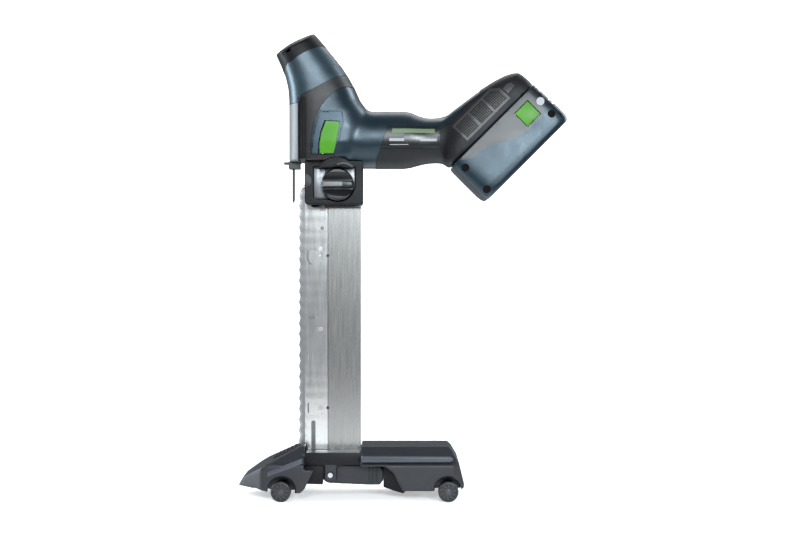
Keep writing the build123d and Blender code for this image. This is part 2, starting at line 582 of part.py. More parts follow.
def battery():
    block = Box(PACK_LENGTH, PACK_WIDTH, PACK_DEPTH)
    block = fillet(block.edges().filter_by(Axis.Y), 5)
    block = fillet(block.faces().sort_by(Axis.Z)[0].edges(), 3.5)
    block = pack_place(0, 0, PACK_TOP + PACK_DEPTH / 2) * block
    inside = pack_box(-HALF_L + 2.2, HALF_L - 2.2, -HALF_W + 2.2, HALF_W - 2.2, PACK_TOP + 2.2,
                      PACK_TOP + PACK_DEPTH - 2.2)
    body = block - inside
    split = pack_box(-80, 80, -60, 60, -20, LID_DEPTH)
    low, high = LATCH_U - LATCH_SIZE / 2 - 0.4, LATCH_U + LATCH_SIZE / 2 + 0.4
    windows = pack_box(low, high, -60, 60, LATCH_V - LATCH_SIZE / 2 - 0.4, LATCH_V + LATCH_SIZE / 2 + 0.4)
    case = (body - split) - (windows - pack_box(low - 1, high + 1, -30, 30, 0, 60))
    label_outline = [(-44.0, LID_DEPTH), (-34.0, 10.5), (-16.0, 15.5), (-4.0, 21.0), (14.0, 27.5), (20.0, 29.0),
                     (42.5, 29.0), (46.0, LID_DEPTH)]
    label_face = polygon(*[foot_point(u, v) for u, v in label_outline])
    label = side(label_face, -HALF_W, -HALF_W + 0.5) - windows
    label = largest(label)
    case = case - label - mirrored(label)
    save(largest(case), "battery_case")
    save(Compound(children=[label, mirrored(label).solids()[0]]), "battery_labels")
    lid = body & split
    lid += pack_box(-38, 50, -17.6, 17.6, -3.0, PACK_TOP + 1)
    lid += pack_box(-38, 50, -21.7, 21.7, -6.6, -3.0)
    lid += pack_box(LATCH_U - 5.5, LATCH_U + 5.5, -5.8, 5.8, PACK_TOP + 2.2, 10.6)
    save(largest(lid), "battery_lid")
    cells = []
    for row in (20.2, 38.4):
        for i in range(5):
            cells.append(pack_rod(9.0, -38 + 19 * i, row, -32.5, 32.5).solids()[0])
    save(Compound(children=cells), "battery_cells")
    paddle = pack_box(LATCH_U - LATCH_SIZE / 2, LATCH_U + LATCH_SIZE / 2, -HALF_W + 0.5, -HALF_W + 2.6,
                      LATCH_V - LATCH_SIZE / 2, LATCH_V + LATCH_SIZE / 2)
    arm = pack_box(LATCH_U - 5.5, LATCH_U + 5.5, -HALF_W + 2.6, -22, 8.2, 10.6)
    button = paddle + arm
    save(button, "battery_button_left")
    save(mirrored(button), "battery_button_right")
    spring = pack_rod(1.2, LATCH_U, 9.4, -22, -5.8) - pack_rod(0.8, LATCH_U, 9.4, -23, -5)
    save(spring, "battery_spring_left")
    save(mirrored(spring), "battery_spring_right")
    screws = []
    for u, v in ((-52, 12), (-52, 40), (52, 12), (52, 40)):
        for s in (-1, 1):
            y_out = s * (HALF_W - 2.2)
            screws.append(pack_rod(2.2, u, v, min(y_out, y_out - s * 6), max(y_out, y_out - s * 6)).solids()[0])
    save(Compound(children=screws), "battery_screws")


front_casing()
clamshell()
switch_buttons()
housing_screws()
motor()
crank()
plungers()
electronics()
clamp()
guide_rail()
blades()
finger_guard()
shoe()
lever()
rollers()
shoe_screws()
battery()
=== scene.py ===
import bpy
import bmesh
import json
import numpy as np
from math import cos, hypot, pi, radians, sin, sqrt
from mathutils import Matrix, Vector


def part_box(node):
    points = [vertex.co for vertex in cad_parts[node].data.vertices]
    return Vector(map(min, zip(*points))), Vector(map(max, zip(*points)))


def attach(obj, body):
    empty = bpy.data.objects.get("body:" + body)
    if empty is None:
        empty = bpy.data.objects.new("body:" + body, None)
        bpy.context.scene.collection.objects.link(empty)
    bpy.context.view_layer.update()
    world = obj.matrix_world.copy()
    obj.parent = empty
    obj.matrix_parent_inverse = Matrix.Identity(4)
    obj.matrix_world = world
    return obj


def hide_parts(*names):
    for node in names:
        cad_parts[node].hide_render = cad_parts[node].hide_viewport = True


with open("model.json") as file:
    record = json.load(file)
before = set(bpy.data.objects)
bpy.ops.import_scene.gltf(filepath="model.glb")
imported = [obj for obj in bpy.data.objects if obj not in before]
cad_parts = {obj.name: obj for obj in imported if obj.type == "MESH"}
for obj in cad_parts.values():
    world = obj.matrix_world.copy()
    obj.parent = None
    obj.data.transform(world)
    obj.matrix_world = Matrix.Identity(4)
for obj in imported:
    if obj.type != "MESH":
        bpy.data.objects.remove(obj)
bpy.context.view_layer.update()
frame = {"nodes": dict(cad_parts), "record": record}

# Millimetres are used for all outlines and sizes; MM turns them into the scene's metres.
MM = 0.001
FAR = 300.0                 # past the machine's ends and sides, for cutting prisms

DIAGONAL = 1 / sqrt(2)      # the pack is turned by 45 degrees
PACK_CENTRE = (91.0, 373.8)  # middle of the face between foot and pack, in (X, Z)
BARREL_Z = 360.5            # height of the barrel's axis at the head
WALL = 2.6                  # thickness of the casing
GAP = 0.7                   # width of the joint lines between casing parts


def node_box(name):
    """Lowest and highest corner of a CAD node, in millimetres."""
    low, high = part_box(name)
    return [c / MM for c in low], [c / MM for c in high]


# ---------------------------------------------------------------- materials
def new_material(name):
    mat = bpy.data.materials.new(name)
    mat.use_nodes = True
    tree = mat.node_tree
    return mat, tree, tree.nodes["Principled BSDF"]


# noise runs mostly between these two values
NOISE_LOW, NOISE_HIGH = 0.3, 0.7


def noise_node(tree, scale, detail, stretch=(1, 1, 1), rough=0.5):
    coords = tree.nodes.new("ShaderNodeTexCoord")
    mapping = tree.nodes.new("ShaderNodeMapping")
    mapping.inputs["Scale"].default_value = stretch
    noise = tree.nodes.new("ShaderNodeTexNoise")
    noise.inputs["Scale"].default_value = scale
    noise.inputs["Detail"].default_value = detail
    noise.inputs["Roughness"].default_value = rough
    tree.links.new(coords.outputs["Object"], mapping.inputs["Vector"])
    tree.links.new(mapping.outputs["Vector"], noise.inputs["Vector"])
    return noise


def ramp_node(tree, source, low, high):
    ramp = tree.nodes.new("ShaderNodeValToRGB")
    ramp.color_ramp.elements[0].position = NOISE_LOW
    ramp.color_ramp.elements[1].position = NOISE_HIGH
    ramp.color_ramp.elements[0].color = low
    ramp.color_ramp.elements[1].color = high
    tree.links.new(source, ramp.inputs["Fac"])
    return ramp


def range_node(tree, source, low, high):
    mapped = tree.nodes.new("ShaderNodeMapRange")
    mapped.inputs["From Min"].default_value = NOISE_LOW
    mapped.inputs["From Max"].default_value = NOISE_HIGH
    mapped.inputs["To Min"].default_value = low
    mapped.inputs["To Max"].default_value = high
    tree.links.new(source, mapped.inputs["Value"])
    return mapped


def shade(colour, factor):
    return tuple(min(1.0, c * factor) for c in colour[:3]) + (1.0,)


def plastic(name, colour, rough, grain=1800.0, bump=0.12, vary=0.10, coat=0.0, specular=0.5,
            tint=(1, 1, 1)):
    """Moulded plastic: spark-eroded grain, slight colour drift and uneven gloss from handling."""
    mat, tree, bsdf = new_material(name)
    cloud = noise_node(tree, 22.0, 4.0)
    tone = ramp_node(tree, cloud.outputs["Fac"], shade(colour, 1 - vary), shade(colour, 1 + vary))
    tree.links.new(tone.outputs["Color"], bsdf.inputs["Base Color"])
    wipe = noise_node(tree, 60.0, 5.0, rough=0.6)
    gloss = range_node(tree, wipe.outputs["Fac"], rough - 0.05, rough + 0.06)
    tree.links.new(gloss.outputs["Result"], bsdf.inputs["Roughness"])
    fine = noise_node(tree, grain, 2.0)
    relief = tree.nodes.new("ShaderNodeBump")
    relief.inputs["Strength"].default_value = bump
    relief.inputs["Distance"].default_value = 0.0002
    tree.links.new(fine.outputs["Fac"], relief.inputs["Height"])
    tree.links.new(relief.outputs["Normal"], bsdf.inputs["Normal"])
    bsdf.inputs["Specular IOR Level"].default_value = specular
    bsdf.inputs["Specular Tint"].default_value = tint + (1.0,)
    bsdf.inputs["Coat Weight"].default_value = coat
    bsdf.inputs["Coat Roughness"].default_value = 0.25
    return mat


def brushed(name, colour, rough, stretch, vary=0.12, bump=0.10):
    """Brushed or ground metal: long streaks along one axis in colour, gloss and relief."""
    mat, tree, bsdf = new_material(name)
    bsdf.inputs["Metallic"].default_value = 1.0
    streak = noise_node(tree, 1.0, 4.0, stretch, 0.65)
    tone = ramp_node(tree, streak.outputs["Fac"], shade(colour, 1 - vary), shade(colour, 1 + vary))
    tree.links.new(tone.outputs["Color"], bsdf.inputs["Base Color"])
    gloss = range_node(tree, streak.outputs["Fac"], rough + 0.08, rough - 0.06)
    tree.links.new(gloss.outputs["Result"], bsdf.inputs["Roughness"])
    relief = tree.nodes.new("ShaderNodeBump")
    relief.inputs["Strength"].default_value = bump
    relief.inputs["Distance"].default_value = 0.0001
    tree.links.new(streak.outputs["Fac"], relief.inputs["Height"])
    tree.links.new(relief.outputs["Normal"], bsdf.inputs["Normal"])
    return mat


# how the streaks of brushed metal are stretched
VERTICAL = (2600, 2600, 26)
ALONG_Y = (1500, 40, 1500)
ALONG_X = (40, 1500, 1500)
BLUE_GLOSS = (0.72, 0.88, 1.0)
LOOK = {}


def add_look(kind, name, *values, **options):
    LOOK[name] = kind(name, *values, **options)


add_look(plastic, "housing_blue", (0.0036, 0.0110, 0.0170), 0.33, specular=0.65, tint=BLUE_GLOSS)
add_look(plastic, "head_blue", (0.0065, 0.0170, 0.0245), 0.38, specular=1.0, tint=BLUE_GLOSS)
add_look(plastic, "seat_blue", (0.0300, 0.0560, 0.0760), 0.42, specular=0.7, tint=BLUE_GLOSS)
add_look(plastic, "matt_black", (0.0040, 0.0042, 0.0055), 0.48, specular=0.22)
# pit_black: near black with almost no gloss, painted shade for screws deep in holes and for dark gaps
add_look(plastic, "pit_black", (0.0015, 0.0018, 0.0022), 0.60, specular=0.08)
add_look(plastic, "cover_brown", (0.0105, 0.0090, 0.0100), 0.45, grain=1100, bump=0.45, vary=0.2)
add_look(plastic, "band_grey", (0.17, 0.17, 0.175), 0.42, vary=0.08)
add_look(plastic, "black_plastic", (0.0040, 0.0045, 0.0055), 0.38, coat=0.1)
add_look(plastic, "plate_black", (0.0060, 0.0065, 0.0075), 0.28, bump=0.05, coat=0.2)
add_look(plastic, "grip_rubber", (0.0060, 0.0063, 0.0080), 0.50, grain=1300, bump=0.6, vary=0.25,
         specular=0.32)
add_look(plastic, "button_green", (0.070, 0.270, 0.016), 0.36, bump=0.06, vary=0.15, specular=0.25)
add_look(plastic, "shoe_grey", (0.0070, 0.0084, 0.0125), 0.48, grain=1300, bump=0.3, vary=0.15,
         specular=0.5)
# shoe_light is a lighter copy of the shoe plastic, a painted highlight for the light along the raised steps
add_look(plastic, "shoe_light", (0.0420, 0.0470, 0.0600), 0.36, grain=1300, bump=0.3, vary=0.15)
add_look(plastic, "label_grey", (0.040, 0.043, 0.045), 0.34, bump=0.04, vary=0.2)
add_look(plastic, "print_green", (0.13, 0.19, 0.10), 0.45, bump=0.03, vary=0.06)
add_look(plastic, "print_white", (0.34, 0.36, 0.37), 0.45, bump=0.03, vary=0.04)
add_look(plastic, "mesh_grey", (0.050, 0.049, 0.044), 0.46, vary=0.15)
add_look(plastic, "frame_grey", (0.035, 0.036, 0.038), 0.36, vary=0.1)
# a darker copy of the steel, painted shade for the inlays behind the blade slots
add_look(brushed, "slot_grey", (0.16, 0.16, 0.165), 0.45, ALONG_X, vary=0.2)
add_look(plastic, "spoke_grey", (0.030, 0.032, 0.036), 0.36, vary=0.1)
add_look(brushed, "stainless", (0.36, 0.356, 0.348), 0.24, VERTICAL, vary=0.16, bump=0.12)
add_look(brushed, "blade_steel", (0.73, 0.73, 0.72), 0.20, VERTICAL, vary=0.04, bump=0.04)
# the bevel and edge looks are darker copies of the blade steel: painted shade on the ground faces and a
# painted dark outline along the edge
add_look(brushed, "blade_bevel", (0.25, 0.25, 0.255), 0.38, VERTICAL, vary=0.2, bump=0.08)
add_look(brushed, "blade_edge", (0.42, 0.42, 0.41), 0.28, ALONG_X, vary=0.12, bump=0.15)
add_look(brushed, "steel", (0.50, 0.50, 0.51), 0.30, ALONG_Y)
add_look(brushed, "clamp_plate", (0.22, 0.225, 0.24), 0.42, (300, 300, 300), vary=0.08)
add_look(brushed, "motor_steel", (0.20, 0.20, 0.21), 0.42, (60, 900, 900))
add_look(plastic, "copper_board", (0.02, 0.12, 0.05), 0.4)
add_look(plastic, "cell_wrap", (0.04, 0.12, 0.30), 0.3)


def paint(obj, look):
    """Gives an object one look all over."""
    obj.data.materials.clear()
    obj.data.materials.append(LOOK[look])


# painted shade: CAD nodes that show through openings get a darker look than their slot, for the shade inside
# the openings
SHADED_NODES = {"roller_axles": "motor_steel", "battery_screws": "pit_black", "shoe_screws": "motor_steel"}
slot_of = {s["node"]: s["material_slot"] for s in frame["record"]["subparts"]}
for node_name, node_object in frame["nodes"].items():
    for index in range(len(node_object.material_slots)):
        node_object.material_slots[index].material = LOOK[SHADED_NODES.get(node_name, slot_of[node_name])]


# ---------------------------------------------------------------- mesh tools
def mesh_object(name, verts, faces):
    """New object from corner points in millimetres."""
    mesh = bpy.data.meshes.new(name)
    mesh.from_pydata([(x * MM, y * MM, z * MM) for x, y, z in verts], [], faces)
    mesh.update()
    obj = bpy.data.objects.new(name, mesh)
    bpy.context.scene.collection.objects.link(obj)
    return obj


def remove(*objects):
    for obj in objects:
        bpy.data.objects.remove(obj)


def copy_of(obj, name):
    """A free copy, without the frame's marks and parent."""
    new = obj.copy()
    new.data = obj.data.copy()
    new.name = name
    new.parent = None
    for key in list(new.keys()):
        del new[key]
    bpy.context.scene.collection.objects.link(new)
    return new


def join(name, objects):
    """One mesh from several, which are removed."""
    bm = bmesh.new()
    for obj in objects:
        bm.from_mesh(obj.data)
    mesh = bpy.data.meshes.new(name)
    bm.to_mesh(mesh)
    bm.free()
    new = bpy.data.objects.new(name, mesh)
    bpy.context.scene.collection.objects.link(new)
    remove(*objects)
    return new


def apply_modifiers(obj):
    graph = bpy.context.evaluated_depsgraph_get()
    mesh = bpy.data.meshes.new_from_object(obj.evaluated_get(graph))
    obj.modifiers.clear()
    obj.data = mesh
    return obj


def fix_normals(obj):
    bm = bmesh.new()
    bm.from_mesh(obj.data)
    bmesh.ops.recalc_face_normals(bm, faces=bm.faces)
    bm.to_mesh(obj.data)
    bm.free()
    return obj


def loft(name, rings):
    """Closed solid through rings of equal point counts."""
    count = len(rings[0])
    verts = [p for ring in rings for p in ring]
    faces = []
    for r in range(len(rings) - 1):
        for k in range(count):
            n = (k + 1) % count
            faces.append((r * count + k, r * count + n, (r + 1) * count + n, (r + 1) * count + k))
    faces.append(tuple(range(count - 1, -1, -1)))
    faces.append(tuple((len(rings) - 1) * count + k for k in range(count)))
    return fix_normals(mesh_object(name, verts, faces))


def prism(name, outline, low=-FAR, high=FAR):
    """Closed outline in (X, Z), from Y = low to Y = high."""
    return loft(name, [[(x, low, z) for x, z in outline], [(x, high, z) for x, z in outline]])


def block(name, x0, x1, y0, y1, z0, z1):
    return prism(name, [(x0, z0), (x1, z0), (x1, z1), (x0, z1)], y0, y1)


def tube_y(name, radius, x, z, low, high, count=40, low_radius=None):
    """Round bar along Y, which tapers when low_radius gives its low end another radius."""
    start = radius if low_radius is None else low_radius
    rings = []
    angles = [2 * pi * k / count for k in range(count)]
    for y, r in ((low, start), (high, radius)):
        rings.append([(x + r * cos(t), y, z + r * sin(t)) for t in angles])
    return loft(name, rings)


def span(side, near, far):
    """Lowest and highest Y of something between two distances from the middle, on one side."""
    return min(side * near, side * far), max(side * near, side * far)


def curve(points, per=8):
    """Smooth path through points, by Catmull-Rom."""
    path = [points[0]] + list(points) + [points[-1]]
    out = []
    for i in range(1, len(path) - 2):
        a, b, c, d = (np.array(p, float) for p in path[i - 1:i + 3])
        for k in range(per):
            t = k / per
            point = 0.5 * (2 * b + (c - a) * t + (2 * a - 5 * b + 4 * c - d) * t * t
                           + (3 * b - a - 3 * c + d) * t ** 3)
            out.append(tuple(float(v) for v in point))
    out.append(tuple(points[-1]))
    return out


def ribbon(path, width):
    """Closed outline of a line of even width along a path."""
    left, right = [], []
    for i, (x, z) in enumerate(path):
        x0, z0 = path[max(i - 1, 0)]
        x1, z1 = path[min(i + 1, len(path) - 1)]
        length = hypot(x1 - x0, z1 - z0)
        nx, nz = -(z1 - z0) / length * width / 2, (x1 - x0) / length * width / 2
        left.append((x + nx, z + nz))
        right.append((x - nx, z - nz))
    return left + right[::-1]


def boolean(obj, tool, operation="DIFFERENCE", keep_tool=False):
    """Cuts an object with a closed tool, which is removed unless it is kept."""
    mod = obj.modifiers.new("cut", "BOOLEAN")
    mod.operation = operation
    mod.object = tool
    mod.solver = "MANIFOLD"
    apply_modifiers(obj)
    if not keep_tool:
        remove(tool)
    return obj


def remesh(obj, size):
    mod = obj.modifiers.new("remesh", "REMESH")
    mod.mode = "VOXEL"
    mod.voxel_size = size * MM
    mod.use_smooth_shade = True
    return apply_modifiers(obj)


def relax(obj, rounds, weight=None):
    """Laplacian smoothing; weight gives each vertex's share from its place in millimetres."""
    mesh = obj.data
    count = len(mesh.vertices)
    points = np.empty(count * 3)
    mesh.vertices.foreach_get("co", points)
    points = points.reshape(-1, 3)
    edges = np.empty(len(mesh.edges) * 2, dtype=np.int64)
    mesh.edges.foreach_get("vertices", edges)
    a, b = edges.reshape(-1, 2).T
    degree = np.bincount(a, minlength=count) + np.bincount(b, minlength=count)
    share = np.full(count, 0.5) if weight is None else 0.5 * weight(points / MM)
    for _ in range(rounds):
        total = np.zeros_like(points)
        np.add.at(total, a, points[b])
        np.add.at(total, b, points[a])
        points += (total / degree[:, None] - points) * share[:, None]
    mesh.vertices.foreach_set("co", points.ravel())
    mesh.update()
    return obj


def swell(obj, amount):
    """Moves every vertex out along its normal."""
    mesh = obj.data
    count = len(mesh.vertices)
    points = np.empty(count * 3)
    normals = np.empty(count * 3)
    mesh.vertices.foreach_get("co", points)
    mesh.vertex_normals.foreach_get("vector", normals)
    mesh.vertices.foreach_set("co", points + normals * amount * MM)
    mesh.update()
    return obj


def layer(outer, top, floor):
    """The skin of a body between two depths; a positive depth lies outside it."""
    return boolean(swell(copy_of(outer, "layer"), top), swell(copy_of(outer, "layer_floor"), floor))


def smooth_shade(obj, angle):
    mesh = obj.data
    mesh.polygons.foreach_set("use_smooth", [True] * len(mesh.polygons))
    mesh.set_sharp_from_angle(angle=radians(angle))


def bevel(obj, width, segments, angle):
    """Rounds the edges that turn by more than an angle."""
    mod = obj.modifiers.new("bevel", "BEVEL")
    mod.width = width * MM
    mod.segments = segments
    mod.limit_method = "ANGLE"
    mod.angle_limit = radians(angle)
    return apply_modifiers(obj)


def piece(obj, name, look, body, *nodes, angle=32):
    """Names, shades and paints a finished piece, ties it to its body and the CAD nodes it stands for."""
    obj.name = name
    obj.data.name = name
    smooth_shade(obj, angle)
    paint(obj, look)
    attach(obj, body)
    if nodes:
        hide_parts(*nodes)
    return obj


def soften(node, voxel, rounds, name, look, body):
    """A copy of a CAD node with moulded, rounded edges."""
    obj = remesh(copy_of(frame["nodes"][node], name), voxel)
    relax(obj, rounds)
    return piece(obj, name, look, body, node, angle=60)


# ---------------------------------------------------------------- machine casing
RING_POINTS = 96            # points of every ring in the casing and pack lofts
FRONT_POWER, BACK_POWER = 3.0, 2.3   # squareness of the head's section in front and behind


def rounded(t, power):
    """Point of a superellipse at angle t; a higher power gives squarer corners."""
    c, s = cos(t), sin(t)
    return (abs(c) ** (2 / power) * (1 if c >= 0 else -1), abs(s) ** (2 / power) * (1 if s >= 0 else -1))


def flat_ring(z, front, back, half):
    """Level ring at height z through the head."""
    ring = []
    for k in range(RING_POINTS):
        t = 2 * pi * k / RING_POINTS
        a, b = rounded(t, BACK_POWER if cos(t) > 0 else FRONT_POWER)
        ring.append(((front + back) / 2 + a * (back - front) / 2, b * half, z))
    return ring


def upright_ring(x, middle, height, half, power):
    """Upright ring at x through the barrel."""
    ring = []
    for k in range(RING_POINTS):
        a, b = rounded(2 * pi * k / RING_POINTS, power)
        ring.append((x, b * half, middle + a * height))
    return ring


def pack_point(u, v):
    """(X, Z) of a point u along the pack's seat and v away from it, towards the pack."""
    return (PACK_CENTRE[0] + (u + v) * DIAGONAL, PACK_CENTRE[1] + (u - v) * DIAGONAL)


def pack_ring(v, low, high, half, power):
    """Ring level with the pack's seat, at depth v."""
    ring = []
    for k in range(RING_POINTS):
        a, b = rounded(2 * pi * k / RING_POINTS, power)
        x, z = pack_point((low + high) / 2 + a * (high - low) / 2, v)
        ring.append((x, b * half, z))
    return ring


# height, front, back and half width
HEAD_RINGS = [
    (338.0, -114.3, -44.0, 30.0), (344.0, -114.3, -38.0, 32.0), (356.0, -114.3, -30.0, 34.0),
    (372.0, -114.3, -27.0, 34.6), (388.0, -114.3, -33.0, 34.6), (400.0, -114.3, -42.0, 34.2),
    (412.0, -115.3, -47.2, 33.6), (423.0, -117.8, -53.4, 33.0), (434.0, -121.6, -60.6, 32.4),
    (446.0, -127.2, -70.2, 31.6), (456.0, -132.2, -78.6, 31.0), (476.0, -142.0, -96.0, 29.5),
]
# x, rise of the middle over BARREL_Z, half height, half width and power
BARREL_RINGS = [
    (-52, 0, 29.2, 29.2, 2.0), (2, 0, 29.2, 29.2, 2.0), (9, 0, 28.2, 28.4, 2.0),
    (16, -0.6, 25.6, 27.2, 2.05), (24, -0.9, 23.4, 26.0, 2.1), (32, -0.7, 22.8, 25.6, 2.15),
    (41, 0.0, 23.4, 26.0, 2.2), (50, 1.6, 24.5, 26.5, 2.2),
]
# v, lower and upper end along u, half width and power
FOOT_RINGS = [
    (0.0, -59.0, 57.0, 35.5, 6.5), (-7.0, -60.2, 57.2, 35.4, 6.0), (-13.0, -58.0, 57.2, 34.8, 5.0),
    (-18.5, -52.0, 56.6, 33.4, 4.5), (-22.5, -49.0, 52.5, 31.8, 4.0), (-26.5, -48.0, 45.0, 30.0, 3.6),
    (-30.2, -47.0, 34.0, 28.2, 3.2), (-33.4, -46.0, 20.0, 26.4, 3.0), (-36.0, -44.0, 2.0, 24.4, 2.8),
    (-38.8, -42.0, -16.0, 22.5, 2.6),
]
CAP_TOP = curve([(-140.0, 434.0), (-134.0, 440.0), (-128.6, 445.4), (-119.0, 453.4), (-109.8, 459.4),
                 (-99.0, 464.3), (-91.0, 467.2), (-84.0, 468.2), (-70.0, 468.2)])


def cap_drop(y):
    """The lid falls away from the middle towards the sides."""
    return 7.5 * (abs(y) / 30.0) ** 2


def neck_blend(points):
    """1 in the neck and where head and barrel meet, 0 elsewhere."""
    neck = np.exp(-((points[:, 0] - 46) / 15) ** 2)
    shoulder = np.exp(-((points[:, 0] + 38) / 11) ** 2) * np.exp(-((points[:, 2] - 372) / 26) ** 2)
    return np.clip(np.maximum(neck, shoulder) * 1.3, 0, 1)


def master_casing():
    """Smooth closed body of head, barrel and foot, before it is divided."""
    head = loft("head", [flat_ring(*ring) for ring in HEAD_RINGS])
    above_top = CAP_TOP + [(-60, 520), (-170, 520), (-170, 434)]
    over = []
    for i in range(25):
        y = -48.0 + 4.0 * i
        over.append([(x, y, z - (cap_drop(y) if z < 500 else 0)) for x, z in above_top])
    boolean(head, loft("over", over))
    barrel = loft("barrel", [upright_ring(x, BARREL_Z + rise, *sizes) for x, rise, *sizes in BARREL_RINGS])
    foot = loft("foot", [pack_ring(*ring) for ring in FOOT_RINGS])
    body = remesh(join("master", [head, barrel, foot]), 1.0)
    relax(body, 5)
    relax(body, 90, neck_blend)
    return body


# Joint lines and openings on the sides of the casing, as paths and outlines in (X, Z)
COVER_ARC = curve([(-43.0, 411.9), (-50.0, 411.9), (-57.0, 411.1), (-64.4, 407.6), (-73.4, 399.7),
                   (-80.4, 390.7), (-85.4, 380.0), (-88.6, 368.8), (-90.3, 356.6), (-90.9, 344.3)])
COVER_FOOT = [(-90.9, 343.7), (-74.1, 343.1), (-67.3, 343.3), (-64.4, 336.0), (-62.4, 318.0)]
HEAD_SEAM = [(-146.2, 393.6), (-103.7, 395.1), (-102.6, 399.2), (-100.0, 402.3), (-62.5, 422.2),
             (-28.0, 439.2)]
CAP_SEAM = curve([(-114.5, 435.0), (-109.8, 436.8), (-99.2, 444.0), (-88.0, 449.6), (-78.0, 453.8),
                  (-62.0, 457.5)])
CAP_LIP = [(-128.0, 425.0), (-119.5, 427.5), (-114.5, 435.0)]
BAND_X = -103.6             # joint line behind the front band
GRIP_EDGE = ([(-27.5, 310.0), (-26.8, 330.0), (-24.6, 341.5), (-21.6, 349.6), (38.2, 349.6), (38.2, 366.0)]
             + curve([(38.2, 370.0), (42.5, 372.6), (48.5, 376.0), (54.0, 382.0), (64.0, 391.6),
                      (76.0, 402.8), (79.0, 408.4), (77.6, 416.0), (74.0, 440.0)]))
PLATE = [(-13.4, 372.0), (37.4, 372.0), (37.4, 350.3), (-21.4, 350.3), (-18.0, 361.4)]
RECESS = [(-81.4, 386.5), (-59.1, 386.5), (-57.9, 376.2), (-61.8, 358.7), (-67.9, 343.9), (-89.9, 343.9),
          (-88.7, 356.0), (-86.4, 369.4), (-83.4, 380.1)]
BUTTON = [(-75.7, 376.8), (-61.6, 376.1), (-63.2, 365.5), (-65.7, 352.8), (-67.7, 344.3), (-82.3, 344.3),
          (-81.9, 354.8), (-80.0, 365.5)]
SLIDE_SLOT = [(-103.3, 337.4), (-94.6, 337.4), (-94.6, 398.6), (-95.9, 401.0), (-98.5, 401.6),
              (-101.0, 399.8), (-102.6, 395.7), (-103.3, 391.8)]
ARCH = (-65.2, 319.4)       # centre of the round opening over the knob
ARCH_RADIUS = 22.0
PROUD = 0.35                # how far cap and grip stand out from the shell
SKIN = -0.9                 # depth of the name plates' pockets
STRIP_DEPTH = -2.0          # depth of the slot with the ribbed strip
SPLIT = 0.12                # half the gap between left and right casing halves


def halves(obj, gap=0.0):
    """Left and right half of an object, which is removed afterwards."""
    for side, low, high in (("left", -FAR, -gap), ("right", gap, FAR)):
        zone = block("half_zone", -FAR, FAR, low, high, 250, 560)
        yield side, boolean(copy_of(obj, "half"), zone, "INTERSECT")
    remove(obj)


